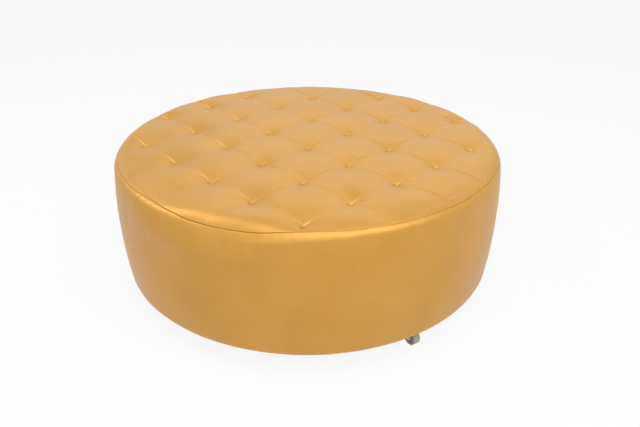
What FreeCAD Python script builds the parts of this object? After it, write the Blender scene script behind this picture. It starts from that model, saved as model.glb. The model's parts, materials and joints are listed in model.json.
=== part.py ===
import FreeCAD, Part
import Sketcher
import math
import os

# Round tufted tuffet on four swivel castors, in millimetres.
# The origin is on the floor under the middle of the seat, +Z is up and -Y is the front.
# A plywood base and deck are held apart by timber posts, wrapped in hardboard and foam,
# covered in gold vinyl, and tufted in diamonds on top.

Vector = FreeCAD.Vector
doc = FreeCAD.newDocument("tuffet")

# Driving dimensions: name, value, what it is
SIZES = [
    ("body_height", 392, "underside to the crests of the seat"),
    ("rim_radius", 601, "radius of the body at its upper and lower rims"),
    ("side_bulge", 9, "how far the padded side swells beyond the rims"),
    ("shoulder_radius", 38, "rounding where the side turns over into the seat"),
    ("corner_radius", 28, "rounding where the side turns under the base"),
    ("seat_crown", 2, "rise of the middle of the seat over its edge"),
    ("crest_drop", 1, "how far the crests lie under the top of the shoulder arc"),
    ("seam_angle", 44, "place of the seam on the shoulder, up from level"),
    ("cover_thickness", 1.2, "vinyl with its knitted backing"),
    ("cover_wrap", 53, "width of side cover stapled under the base"),
    ("dust_thickness", 0.8, "black dust cloth under the base"),
    ("dust_inset", 7, "edge of the dust cloth in from the flat of the underside"),
    ("side_padding", 21, "edge of the base and the deck in from the rims of the cover"),
    ("base_thickness", 18, "plywood base"),
    ("base_edge", 1, "the base's eased edge starts this far inside the cover's rounding"),
    ("round_flats", 54, "flats round the covers, the foam and the boards"),
    ("deck_thickness", 15, "plywood deck under the seat foam"),
    ("seat_depth", 97, "top of the deck to the crests of the seat"),
    ("skin_thickness", 4, "hardboard wrapped round the posts"),
    ("skin_lift", 5, "lower edge of the hardboard above the underside of the base"),
    ("fit_gap", 0.3, "clearance between curved pieces that lie on each other"),
    ("post_count", 12, "timber posts between the base and the deck"),
    ("post_wide", 45, "post, along the rim"),
    ("post_deep", 45, "post, across the rim"),
    ("post_inset", 5, "outer face of a post in from the edge of the frame"),
    ("rail_width", 35, "timber rails under the deck"),
    ("rail_height", 70, "timber rails under the deck"),
    ("prop_width", 45, "timber props under the middle of the rails"),
    ("tuft_pitch", 127, "half the diagonal of a diamond of the tufting"),
    ("tuft_depth", 18, "tuft below the crests"),
    ("pleat_depth", 4, "middle of a pleat below the crests"),
    ("tuft_edge", 12, "least distance from a tuft to the seam"),
    ("pleat_fade", 40, "distance over which the pleats run out at the seam"),
    ("pleat_past", 8, "how far past the seam the pleats would run out"),
    ("twine_width", 3, "waxed tufting twine"),
    ("twine_play", 0.5, "room round the twine in its passage"),
    ("anchor_width", 22, "toggle under the deck that holds a twine"),
    ("anchor_thickness", 3, "toggle under the deck that holds a twine"),
    ("castor_count", 4, "castors"),
    ("castor_inset", 56, "swivel axes in from the edge of the base"),
    ("castor_first", -55, "direction of the first castor, from +X towards +Y"),
    ("castor_turn", -2, "direction in which the first castor trails, from straight out"),
    ("castor_swing", 53, "how much further round each next castor trails"),
    ("plate_long", 65, "castor plate, along the rim"),
    ("plate_short", 48, "castor plate, across the rim"),
    ("plate_thickness", 2.5, "castor plate"),
    ("plate_corner", 5, "cut corners of the castor plate"),
    ("screws_long", 50, "spacing of the plate's screws along the rim"),
    ("screws_short", 34, "spacing of the plate's screws across the rim"),
    ("screw_radius", 2.5, "castor screw"),
    ("screw_length", 15, "castor screw, into the base"),
    ("screw_play", 0.4, "room round a screw in the plate and the cloths"),
    ("screw_head", 5, "corner radius of the hexagon head"),
    ("screw_head_height", 3, "hexagon head"),
    ("race_radius", 19, "fixed ball race of the swivel"),
    ("race_height", 8.2, "fixed ball race of the swivel"),
    ("pin_sides", 12, "flats round a pin"),
    ("kingpin_radius", 5, "pin on which the fork swivels"),
    ("kingpin_head", 7.5, "riveted head of the kingpin"),
    ("kingpin_head_height", 3, "riveted head of the kingpin"),
    ("running_gap", 0.1, "clearance round a turning pin"),
    ("side_gap", 0.3, "clearance beside a turning face"),
    ("fork_sheet", 2.5, "pressed steel of the fork"),
    ("fork_inside", 23, "width between the cheeks of the fork"),
    ("fork_reach", 18, "crown of the fork, each way from the kingpin"),
    ("crown_gap", 1.5, "room between the wheel and the crown of the fork"),
    ("fork_boss", 9, "end of a cheek round the axle"),
    ("castor_trail", 22, "axle behind the swivel axis"),
    ("wheel_radius", 25, "rolling radius"),
    ("wheel_sides", 28, "flats round a moulded wheel"),
    ("tyre_width", 20, "soft grey tyre"),
    ("core_radius", 19, "hard grey centre of the wheel"),
    ("axle_radius", 4, "axle bolt"),
    ("axle_head", 6.5, "corner radius of the bolt's head and nut"),
    ("axle_head_height", 3, "the bolt's head and nut"),
]

sheet = doc.addObject("Spreadsheet::Sheet", "sizes")
for row, (name, value, meaning) in enumerate(SIZES, 1):
    sheet.set("A%d" % row, meaning)
    sheet.set("B%d" % row, str(value))
    sheet.setAlias("B%d" % row, name)
doc.recompute()


def size(name):
    """A driving dimension, as a number."""
    return float(sheet.get(name))


def value(expression):
    """What an expression comes to, as a number."""
    return float(sheet.evalExpression(expression))


nodes = []


def bind(piece, **expressions):
    """Bind a piece's properties; x, y, z and turn are its place and its angle about Z."""
    paths = {"x": "Placement.Base.x", "y": "Placement.Base.y", "z": "Placement.Base.z",
             "turn": "Placement.Rotation.Angle"}
    for name, expression in expressions.items():
        piece.setExpression(paths.get(name, name), expression)
    return piece


def keep(piece, label):
    """Name a finished sub-part and put it on the list that is written out."""
    piece.Label = label
    nodes.append(piece)
    return piece


def prism(name, sides, radius, height, **place):
    """A straight bar with a regular outline; radius is to its corners."""
    return bind(doc.addObject("Part::Prism", name), Polygon=sides, Circumradius=radius,
                Height=height, **place)


def disc(name, radius, height, **place):
    """A round board or cloth, with the flats that all round pieces share."""
    return prism(name, "sizes.round_flats", radius, height, **place)


def pin(name, radius, height, **place):
    return prism(name, "sizes.pin_sides", radius, height, **place)


def box(name, along, across, up, **place):
    return bind(doc.addObject("Part::Box", name), Length=along, Width=across, Height=up, **place)


def group(name, pieces):
    piece = doc.addObject("Part::Compound", name)
    piece.Links = pieces
    return piece


def cut(name, base, tool):
    piece = doc.addObject("Part::Cut", name)
    piece.Base = base
    piece.Tool = tool
    return piece


def fuse(name, pieces):
    piece = doc.addObject("Part::MultiFuse", name)
    piece.Shapes = pieces
    return piece


def sketch(body, name, role):
    """A sketch on one of the body's own origin planes."""
    plane = [item for item in body.Origin.OriginFeatures if item.Role == role][0]
    drawing = body.newObject("Sketcher::SketchObject", name)
    drawing.AttachmentSupport = (plane, "")
    drawing.MapMode = "FlatFace"
    return drawing


def outline(drawing, corners):
    """A closed outline of straight edges, with a pair of expressions for each corner."""
    first = drawing.GeometryCount
    count = len(corners)
    angles = [2 * math.pi * k / count for k in range(count)]
    start = [Vector(math.cos(angle), math.sin(angle), 0) for angle in angles]
    for k in range(count):
        drawing.addGeometry(Part.LineSegment(start[k], start[(k + 1) % count]), False)
    for k in range(count):
        following = first + (k + 1) % count
        drawing.addConstraint(Sketcher.Constraint("Coincident", first + k, 2, following, 1))
    for k, (across, up) in enumerate(corners):
        for kind, value, now in (("DistanceX", across, start[k].x), ("DistanceY", up, start[k].y)):
            number = drawing.addConstraint(Sketcher.Constraint(kind, -1, 1, first + k, 1, now))
            drawing.setExpression("Constraints[%d]" % number, value)


def bore(drawing, radius):
    """A round hole about the origin of a sketch."""
    number = drawing.addGeometry(Part.Circle(Vector(0, 0, 0), Vector(0, 0, 1), 1), False)
    drawing.addConstraint(Sketcher.Constraint("Coincident", number, 3, -1, 1))
    fixed = drawing.addConstraint(Sketcher.Constraint("Radius", number, 1))
    drawing.setExpression("Constraints[%d]" % fixed, radius)


def ring(drawing, across, up, radius):
    """A pin's regular outline about a centre; radius is to its corners."""
    sides = int(size("pin_sides"))
    corners = []
    for k in range(sides):
        turn = "(%d * 360 / sizes.pin_sides)" % k
        corners.append(("%s + (%s) * cos%s" % (across, radius, turn),
                        "%s + (%s) * sin%s" % (up, radius, turn)))
    outline(drawing, corners)


def pad(body, name, drawing, length, both_ways=False):
    feature = body.newObject("PartDesign::Pad", name)
    feature.Profile = drawing
    feature.Midplane = both_ways
    feature.setExpression("Length", length)
    return feature


def pocket(body, name, drawing, length=None):
    """Cut both ways from the sketch: right through, or to a width."""
    feature = body.newObject("PartDesign::Pocket", name)
    feature.Profile = drawing
    feature.Midplane = True
    if length is None:
        feature.Type = "ThroughAll"
    else:
        feature.setExpression("Length", length)
    return feature


# Levels, from the floor up
FORK_TOP = "(2 * sizes.wheel_radius + sizes.crown_gap + sizes.fork_sheet)"
RACE_BOTTOM = "(" + FORK_TOP + " + sizes.side_gap)"
PLATE_BOTTOM = "(" + RACE_BOTTOM + " + sizes.race_height)"
UNDERSIDE = "(" + PLATE_BOTTOM + " + sizes.plate_thickness)"
COVER_BOTTOM = "(" + UNDERSIDE + " + sizes.dust_thickness)"
BASE_BOTTOM = "(" + COVER_BOTTOM + " + sizes.cover_thickness)"
BASE_TOP = "(" + BASE_BOTTOM + " + sizes.base_thickness)"
SEAT_TOP = "(" + UNDERSIDE + " + sizes.body_height)"
DECK_TOP = "(" + SEAT_TOP + " - sizes.seat_depth)"
DECK_BOTTOM = "(" + DECK_TOP + " - sizes.deck_thickness)"

# Radii
FRAME_RADIUS = "(sizes.rim_radius - sizes.side_padding)"
CORNER_START = "(sizes.rim_radius - sizes.corner_radius)"
POST_FACE = "(" + FRAME_RADIUS + " - sizes.post_inset - sizes.post_deep)"
CASTOR_RING = "(" + FRAME_RADIUS + " - sizes.castor_inset)"

# Castors: where each one stands and which way it trails
castors = range(1, int(size("castor_count")) + 1)


def castor_direction(number):
    return "(sizes.castor_first + %d * 360 / sizes.castor_count)" % (number - 1)


def at_castor(piece, number, trailing):
    """Stand a piece on a castor's swivel axis, square to the rim or along the trail."""
    direction = castor_direction(number)
    trail = " + sizes.castor_turn + %d * sizes.castor_swing" % (number - 1)
    turn = direction + (trail if trailing else "")
    return bind(piece, x=CASTOR_RING + " * cos" + direction,
                y=CASTOR_RING + " * sin" + direction, turn=turn)


def at_screws(name, number, make):
    """Four copies of what make returns, on the screws of one castor's plate."""
    copies = []
    for side, across in (("inner", "-"), ("outer", "")):
        for end, along in (("left", "-"), ("right", "")):
            copy = make("%s_%s_%s_%d" % (name, side, end, number))
            bind(copy, x=across + "sizes.screws_short / 2", y=along + "sizes.screws_long / 2")
            copies.append(copy)
    return at_castor(group("%s_%d" % (name, number), copies), number, False)


def screw_hole(name):
    """Room for a screw through the plate and the cloths."""
    return prism(name, "6", "sizes.screw_radius + sizes.screw_play",
                 BASE_TOP + " - " + RACE_BOTTOM, z=RACE_BOTTOM)


def pilot_hole(name):
    """The hole that a screw fills in the base."""
    return prism(name, "6", "sizes.screw_radius", "sizes.screw_length", z=BASE_BOTTOM)


screw_holes = group("screw_holes", [at_screws("screw_hole", n, screw_hole) for n in castors])
pilot_holes = group("pilot_holes", [at_screws("pilot_hole", n, pilot_hole) for n in castors])
doc.recompute()


# The shoulder: centre of its arc, and the radius of the seam on it
shoulder_out = size("rim_radius") - size("shoulder_radius")
shoulder_up = (value(SEAT_TOP) - size("seat_crown") + size("crest_drop")
               - size("shoulder_radius"))
seam_out = shoulder_out + size("shoulder_radius") * math.cos(math.radians(size("seam_angle")))

# Tufting: a square lattice stood on its corner, its rows half a pitch off the middle
pitch = size("tuft_pitch")


def lattice(column, row):
    return column * pitch, (row + 0.5) * pitch


reach = int(seam_out / pitch) + 2
cells = int((size("rim_radius") + pitch / 2) / (math.sqrt(2) * pitch)) + 1
tufts = []
for row in range(-reach, reach):
    for column in range(-reach, reach + 1):
        out = math.hypot(*lattice(column, row))
        if (column + row) % 2 and out < seam_out - size("tuft_edge"):
            tufts.append((column, row))


def crest(x, y):
    """Height of the crests of the pillows, a shallow dome."""
    share = (x * x + y * y) / shoulder_out ** 2
    return value(SEAT_TOP) - size("seat_crown") * share


def run_out(x, y):
    """One over the seat, falling to nothing past the seam, where the pleats run out."""
    left = seam_out + size("pleat_past") - math.hypot(x, y)
    return max(0.0, min(1.0, left / size("pleat_fade")))


def tuft_height(x, y):
    return crest(x, y) - size("tuft_depth") * run_out(x, y)


def pleat_height(x, y):
    return crest(x, y) - size("pleat_depth") * run_out(x, y)


def middle(a, b):
    return (a[0] + b[0]) / 2, (a[1] + b[1]) / 2


def through(first, halfway, last, share):
    """The parabola through three heights, at a share of the way."""
    return (first * (1 - share) * (1 - 2 * share) + halfway * 4 * share * (1 - share)
            + last * share * (2 * share - 1))


def pillow(column, row, steps):
    """Points of one diamond's pillow: low at its four tufts, higher along its pleats,
    highest in the middle, with a parabola each way."""
    front, right = lattice(column, row), lattice(column + 1, row + 1)
    back, left = lattice(column, row + 2), lattice(column - 1, row + 1)
    heart = middle(front, back)
    edges = [middle(front, right), middle(left, back), middle(front, left), middle(right, back)]
    heights = [[tuft_height(*front), pleat_height(*edges[0]), tuft_height(*right)],
               [pleat_height(*edges[2]), crest(*heart), pleat_height(*edges[3])],
               [tuft_height(*left), pleat_height(*edges[1]), tuft_height(*back)]]
    points = []
    for k in range(steps + 1):
        v = k / steps
        row_points = []
        for n in range(steps + 1):
            u = n / steps
            x = front[0] + (u - v) * pitch
            y = front[1] + (u + v) * pitch
            across = [through(*level, u) for level in heights]
            row_points.append(Vector(x, y, through(*across, v)))
        points.append(row_points)
    return points


def tufted_block(drop, floor, steps=4):
    """A square block with the tufted surface on top, lowered by drop."""
    lower = Vector(0, 0, -drop)
    points = {}
    for a in range(-cells, cells):
        for b in range(-cells, cells):
            for k, row_points in enumerate(pillow(a - b, a + b - 1, steps)):
                for n, point in enumerate(row_points):
                    points.setdefault((a * steps + n, b * steps + k), point + lower)
    first, last = -cells * steps, cells * steps
    faces = []

    def add(*ring):
        ring = list(ring)
        faces.append(Part.Face(Part.makePolygon(ring + ring[:1])))

    def grid(a, b):
        return points[(a, b)]

    def foot(a, b):
        return Vector(grid(a, b).x, grid(a, b).y, floor)

    for a in range(first, last):
        for b in range(first, last):
            near, far = grid(a, b), grid(a + 1, b + 1)
            left, right = grid(a, b + 1), grid(a + 1, b)
            if (a // (steps // 2) + b // (steps // 2)) % 2:
                add(near, right, left)
                add(right, far, left)
            else:
                add(near, right, far)
                add(near, far, left)
    for b in (first, last):
        for a in range(first, last):
            add(grid(a, b), grid(a + 1, b), foot(a + 1, b), foot(a, b))
            add(grid(b, a), grid(b, a + 1), foot(b, a + 1), foot(b, a))
    add(foot(first, first), foot(last, first), foot(last, last), foot(first, last))
    shell = Part.makeShell(faces)
    shell.sewShape()
    solid = Part.makeSolid(shell)
    if solid.Volume < 0:
        solid.reverse()
    return solid


def turned(profile):
    """The solid that a closed outline sweeps round the Z axis, in flats. The outline is
    a list of (radius, height) corners, counterclockwise seen from the front."""
    flats = int(size("round_flats"))
    count = len(profile)
    faces = []
    for k in range(flats):
        turns = [2 * math.pi * (k + n) / flats for n in (0, 1)]
        near, far = [[Vector(out * math.cos(turn), out * math.sin(turn), up)
                      for out, up in profile] for turn in turns]
        for n in range(count):
            following = (n + 1) % count
            corners = [near[n], far[n], far[following], near[following]]
            if profile[n][0] == 0:
                corners.remove(far[n])
            if profile[following][0] == 0:
                corners.remove(near[following])
            if len(corners) > 2:
                faces.append(Part.Face(Part.makePolygon(corners + corners[:1])))
    shell = Part.makeShell(faces)
    shell.sewShape()
    solid = Part.makeSolid(shell)
    if solid.Volume < 0:
        solid.reverse()
    return solid.removeSplitter()


def polar(out, up, radius, angle):
    """A corner on an arc of the outline, its angle in degrees up from level."""
    turn = math.radians(angle)
    return out + radius * math.cos(turn), up + radius * math.sin(turn)


def chords(out, up, radius, start, end, count):
    """Corners along an arc, from one angle to another."""
    step = (end - start) / count
    return [polar(out, up, radius, start + step * k) for k in range(count + 1)]


# Where the cover turns under, what lies under it, and how many flats go up the side
corner_out = value(CORNER_START)
corner_up = value(COVER_BOTTOM) + size("corner_radius")
deck_top = value(DECK_TOP)
skin = size("cover_thickness")
under_cover = skin + size("fit_gap")
SIDE_RUNS = 4
CORNER_RUNS = 3

# The shoulder's shared corners: level, halfway to the seam, at the seam and on top
LEVEL, UNDER_SEAM, SEAM, TOP = 0, 1, 2, 4


def bulge(inset, level):
    """Radius of the padded side at a height, inset from the outside of the cover."""
    half = (shoulder_up - corner_up) / 2
    rise = size("side_bulge")
    curve = (half * half + rise * rise) / (2 * rise)
    away = level - (corner_up + half)
    return size("rim_radius") + rise - curve + math.sqrt(curve * curve - away * away) - inset


def side_levels():
    """Heights of the corners up the padded side, which cover and foam share."""
    return [corner_up + (shoulder_up - corner_up) * k / SIDE_RUNS for k in range(SIDE_RUNS + 1)]


def side_corners(inset, low, high):
    """Corners up the padded side, between two heights that are left out."""
    return [(bulge(inset, level), level) for level in side_levels() if low < level < high]


def side_radius(inset, level):
    """Radius of the padded side at any height, on the straight run between two corners."""
    levels = side_levels()
    low = max(corner for corner in levels[:-1] if corner <= level)
    high = min(corner for corner in levels[1:] if corner > low)
    share = (level - low) / (high - low)
    return bulge(inset, low) * (1 - share) + bulge(inset, high) * share


def shoulder(radius, first, last):
    """Corners up the shoulder, from one of its shared angles to another."""
    seam = size("seam_angle")
    angles = [0, seam / 2, seam, (seam + 90) / 2, 90]
    return [polar(shoulder_out, shoulder_up, radius, angle)
            for angle in angles[first:last + 1]]




def feature(name, shape):
    piece = doc.addObject("Part::Feature", name)
    piece.Shape = shape
    return keep(piece, name)


def top_cover():
    """Gold vinyl of the seat: one sheet, drawn down at each tuft, sewn to the side cover."""
    radius = size("shoulder_radius")
    peak = shoulder_up + radius + 2 * size("seat_crown") + size("crest_drop")
    outside = turned([(0, shoulder_up), (shoulder_out, shoulder_up)]
                     + shoulder(radius, SEAM, TOP) + [(0, peak)])
    sheet_top = tufted_block(0, shoulder_up - 1).common(outside)
    low = shoulder_up - radius / 2
    arc = shoulder(radius - skin, UNDER_SEAM, TOP)
    inside = turned([(0, low), (arc[0][0], low)] + arc + [(0, peak - skin)])
    hollow = tufted_block(skin, low - 1).common(inside)
    return sheet_top.cut(hollow)


passages = []
for number, (column, row) in enumerate(tufts, 1):
    passages.append(prism("passage_%d" % number, "4", "sizes.twine_width / 2 + sizes.twine_play",
                          "sizes.seat_depth + 2 * sizes.deck_thickness",
                          x="%d * sizes.tuft_pitch" % column,
                          y="%.1f * sizes.tuft_pitch" % (row + 0.5),
                          z=DECK_TOP + " - 2 * sizes.deck_thickness"))
twine_passages = group("twine_passages", passages)
doc.recompute()


def seat_foam():
    """Seat foam on the deck, tufted on top and drawn in at its edge like the cover."""
    radius = size("shoulder_radius") - under_cover
    peak = shoulder_up + radius + 2 * size("seat_crown") + size("crest_drop")
    outside = turned([(0, deck_top), (side_radius(under_cover, deck_top), deck_top)]
                     + side_corners(under_cover, deck_top, shoulder_up)
                     + shoulder(radius, LEVEL, TOP) + [(0, peak)])
    block = tufted_block(under_cover, deck_top - 1).common(outside)
    return block.cut(twine_passages.Shape)


def side_cover():
    """Gold vinyl of the side: down from the seam, round the lower corner and under."""
    edge = corner_out - size("cover_wrap")
    corner = [corner_out, corner_up]
    outer = (chords(*corner, size("corner_radius"), -90, 0, CORNER_RUNS)
             + side_corners(0, corner_up, shoulder_up)
             + shoulder(size("shoulder_radius"), LEVEL, SEAM))
    inner = (chords(*corner, size("corner_radius") - skin, -90, 0, CORNER_RUNS)
             + side_corners(skin, corner_up, shoulder_up)
             + shoulder(size("shoulder_radius") - skin, LEVEL, SEAM))
    profile = ([(edge, value(COVER_BOTTOM))] + outer + inner[::-1]
               + [(edge, value(BASE_BOTTOM))])
    return turned(profile).cut(screw_holes.Shape)


def side_foam():
    """Foam sheet wrapped round the hardboard and turned in at the lower corner."""
    inside = value(FRAME_RADIUS) + size("skin_thickness") + 2 * size("fit_gap")
    radius = size("corner_radius") - under_cover
    corner = [place for place in chords(corner_out, corner_up, radius, -90, 0, CORNER_RUNS)
              if place[0] > inside]
    return turned([(inside, corner[0][1])] + corner
                  + side_corners(under_cover, corner_up, deck_top)
                  + [(side_radius(under_cover, deck_top), deck_top), (inside, deck_top)])


def twine_set():
    """One waxed twine for each tuft, from its toggle under the deck up to the cover."""
    low = deck_top - size("deck_thickness")
    radius = size("twine_width") / 2
    twines = []
    for column, row in tufts:
        x, y = lattice(column, row)
        high = tuft_height(x, y) - under_cover
        corners = [Vector(x + radius, y, low), Vector(x, y + radius, low),
                   Vector(x - radius, y, low), Vector(x, y - radius, low)]
        strand = Part.Face(Part.makePolygon(corners + corners[:1]))
        twines.append(strand.extrude(Vector(0, 0, high - low)))
    return Part.makeCompound(twines)


# Dust cloth: black non-woven sheet, stapled over the raw edge of the side cover
dust_sheet = disc("dust_sheet", CORNER_START + " - sizes.dust_inset", "sizes.dust_thickness",
                  z=UNDERSIDE)
keep(cut("dust_cut", dust_sheet, screw_holes), "dust_cover")

# Base: plywood disc drilled for the castor screws, its lower edge eased for the cover
base_body = doc.addObject("PartDesign::Body", "base_blank")
base_board = base_body.newObject("PartDesign::AdditivePrism", "base_board")
bind(base_board, Polygon="sizes.round_flats", Circumradius=FRAME_RADIUS,
     Height="sizes.base_thickness")
doc.recompute()
board_faces = base_board.Shape.Faces
underside = min(range(len(board_faces)), key=lambda k: board_faces[k].CenterOfMass.z)
base_ease = base_body.newObject("PartDesign::Chamfer", "base_ease")
base_ease.Base = (base_board, ["Face%d" % (underside + 1)])
bind(base_ease, Size="sizes.base_edge + max(0; " + FRAME_RADIUS + " - " + CORNER_START + ")")
bind(base_body, z=BASE_BOTTOM)
keep(cut("base_cut", base_body, pilot_holes), "base_disc")

# Toggles under the deck, one for each tuft; the outermost are drawn in from the deck's edge
TOGGLE_REACH = "(" + FRAME_RADIUS + " - sizes.anchor_width / 2 - sizes.twine_play)"


def toggle_set(name, room):
    """Square toggles, or the room for them in the timber."""
    copies = []
    for number, (column, row) in enumerate(tufts, 1):
        far_out = math.hypot(column, row + 0.5)
        drawn_in = " * min(1; %s / (%.6f * sizes.tuft_pitch))" % (TOGGLE_REACH, far_out)
        copies.append(prism("%s_%d" % (name, number), "4", "sizes.anchor_width / 2 + " + room,
                            "sizes.anchor_thickness + " + room,
                            x="%d * sizes.tuft_pitch" % column + drawn_in,
                            y="%.1f * sizes.tuft_pitch" % (row + 0.5) + drawn_in,
                            z=DECK_BOTTOM + " - sizes.anchor_thickness - " + room))
    return group(name + "s", copies)


keep(toggle_set("toggle", "0"), "twine_toggles")
toggle_room = toggle_set("toggle_room", "sizes.fit_gap")


def clear_of_toggles(piece, label):
    """Timber under the deck, notched where a toggle would meet it."""
    return keep(cut(label + "_cut", piece, toggle_room), label)


# Posts: timber, screwed between the base and the deck, facing outwards
posts = []
for number in range(int(size("post_count"))):
    direction = "(%.1f * 360 / sizes.post_count)" % (number + 0.5)
    post = box("post_%d" % (number + 1), "sizes.post_deep", "sizes.post_wide",
               DECK_BOTTOM + " - " + BASE_TOP, z=BASE_TOP, turn=direction)
    bind(post, x=POST_FACE + " * cos" + direction + " + sizes.post_wide / 2 * sin" + direction,
         y=POST_FACE + " * sin" + direction + " - sizes.post_wide / 2 * cos" + direction)
    posts.append(post)
clear_of_toggles(group("post_ring", posts), "rim_posts")

# Rails under the deck: each runs between two posts, its ends bevelled to their faces
HALF_STEP = "(180 / sizes.post_count)"
RAIL_LINE = "((" + POST_FACE + " + sizes.post_deep / 2) * sin" + HALF_STEP + ")"
RAIL_BOTTOM = "(" + DECK_BOTTOM + " - sizes.rail_height)"


def rail(name, side):
    body = doc.addObject("PartDesign::Body", name + "_body")
    plan = sketch(body, name + "_plan", "XY_Plane")
    near = "(" + RAIL_LINE + " - sizes.rail_width / 2)"
    far = "(" + RAIL_LINE + " + sizes.rail_width / 2)"
    near_end = "(" + POST_FACE + " - " + near + " * sin" + HALF_STEP + ") / cos" + HALF_STEP
    far_end = "(" + POST_FACE + " - " + far + " * sin" + HALF_STEP + ") / cos" + HALF_STEP
    corners = [("-" + near_end, side + near), (near_end, side + near),
               (far_end, side + far), ("-" + far_end, side + far)]
    outline(plan, corners)
    pad(body, name + "_pad", plan, "sizes.rail_height")
    bind(body, z=RAIL_BOTTOM)
    clear_of_toggles(body, name)


rail("front_rail", "-")
rail("back_rail", "")

# Noggings between the rails, and a prop under the middle of each rail
INSIDE_RAILS = "(2 * " + RAIL_LINE + " - sizes.rail_width)"
for name, side in (("left_nogging", "-"), ("right_nogging", "")):
    nogging = box(name + "_bar", "sizes.rail_width", INSIDE_RAILS, "sizes.rail_height",
                  x=side + "sizes.tuft_pitch / 2 - sizes.rail_width / 2",
                  y="-" + INSIDE_RAILS + " / 2", z=RAIL_BOTTOM)
    clear_of_toggles(nogging, name)
for name, side in (("front_prop", "-"), ("back_prop", "")):
    prop = box(name + "_bar", "sizes.prop_width", "sizes.prop_width",
               RAIL_BOTTOM + " - " + BASE_TOP,
               x="-sizes.prop_width / 2", z=BASE_TOP,
               y=side + RAIL_LINE + " - sizes.prop_width / 2")
    keep(prop, name)

# Deck: plywood disc under the seat foam, drilled for the twines
deck_blank = disc("deck_blank", FRAME_RADIUS, "sizes.deck_thickness", z=DECK_BOTTOM)
keep(cut("deck_cut", deck_blank, twine_passages), "deck_disc")

# Hardboard skin round the posts, from the base to the top of the deck
SKIN_BOTTOM = "(" + BASE_BOTTOM + " + sizes.skin_lift)"
SKIN_INSIDE = "(" + FRAME_RADIUS + " + sizes.fit_gap)"
skin_outer = disc("skin_outer", SKIN_INSIDE + " + sizes.skin_thickness",
                  DECK_TOP + " - " + SKIN_BOTTOM, z=SKIN_BOTTOM)
skin_inner = disc("skin_inner", SKIN_INSIDE, DECK_TOP + " - " + SKIN_BOTTOM, z=SKIN_BOTTOM)
keep(cut("skin_cut", skin_outer, skin_inner), "side_skin")

# Soft pieces and twines
feature("tufting_twines", twine_set())
feature("side_foam", side_foam())
feature("seat_foam", seat_foam())
feature("side_cover", side_cover())
feature("top_cover", top_cover())


# Castors
def plate(number):
    """Steel plate with cut corners."""
    body = doc.addObject("PartDesign::Body", "plate_%d" % number)
    plan = sketch(body, "plate_plan_%d" % number, "XY_Plane")
    short, long = "(sizes.plate_short / 2)", "(sizes.plate_long / 2)"
    corners = []
    for x, y in (("", "-"), ("", ""), ("-", ""), ("-", "-")):
        cuts = [(x + "(" + short + " - sizes.plate_corner)", y + long),
                (x + short, y + "(" + long + " - sizes.plate_corner)")]
        corners += cuts if x != y else cuts[::-1]
    outline(plan, corners)
    pad(body, "plate_pad_%d" % number, plan, "sizes.plate_thickness")
    bind(body, z=PLATE_BOTTOM)
    return at_castor(body, number, False)


def race(number):
    """Fixed ball race, pressed on the kingpin under the plate."""
    blank = prism("race_blank_%d" % number, "2 * sizes.pin_sides", "sizes.race_radius",
                  "sizes.race_height", z=RACE_BOTTOM)
    return at_castor(blank, number, False)


def rivet_hole(number):
    """Hole for the kingpin in the plate and the race."""
    hole = pin("rivet_hole_%d" % number, "sizes.kingpin_radius",
               UNDERSIDE + " - " + RACE_BOTTOM, z=RACE_BOTTOM)
    return at_castor(hole, number, False)


def kingpin(number):
    """Pin through the plate and the race, with a riveted head under the fork's crown."""
    head_top = "(" + FORK_TOP + " - sizes.fork_sheet - sizes.side_gap)"
    shank = pin("kingpin_shank_%d" % number, "sizes.kingpin_radius",
                UNDERSIDE + " - " + head_top, z=head_top)
    head = prism("kingpin_head_%d" % number, "8", "sizes.kingpin_head",
                 "sizes.kingpin_head_height", z=head_top + " - sizes.kingpin_head_height")
    return at_castor(fuse("kingpin_%d" % number, [shank, head]), number, False)


def screw(name):
    """Hexagon-headed screw up through the plate into the base."""
    shank = prism(name + "_shank", "6", "sizes.screw_radius",
                  BASE_BOTTOM + " + sizes.screw_length - " + PLATE_BOTTOM, z=PLATE_BOTTOM)
    head = prism(name + "_head", "6", "sizes.screw_head", "sizes.screw_head_height",
                 z=PLATE_BOTTOM + " - sizes.screw_head_height")
    return fuse(name, [shank, head])


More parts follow.
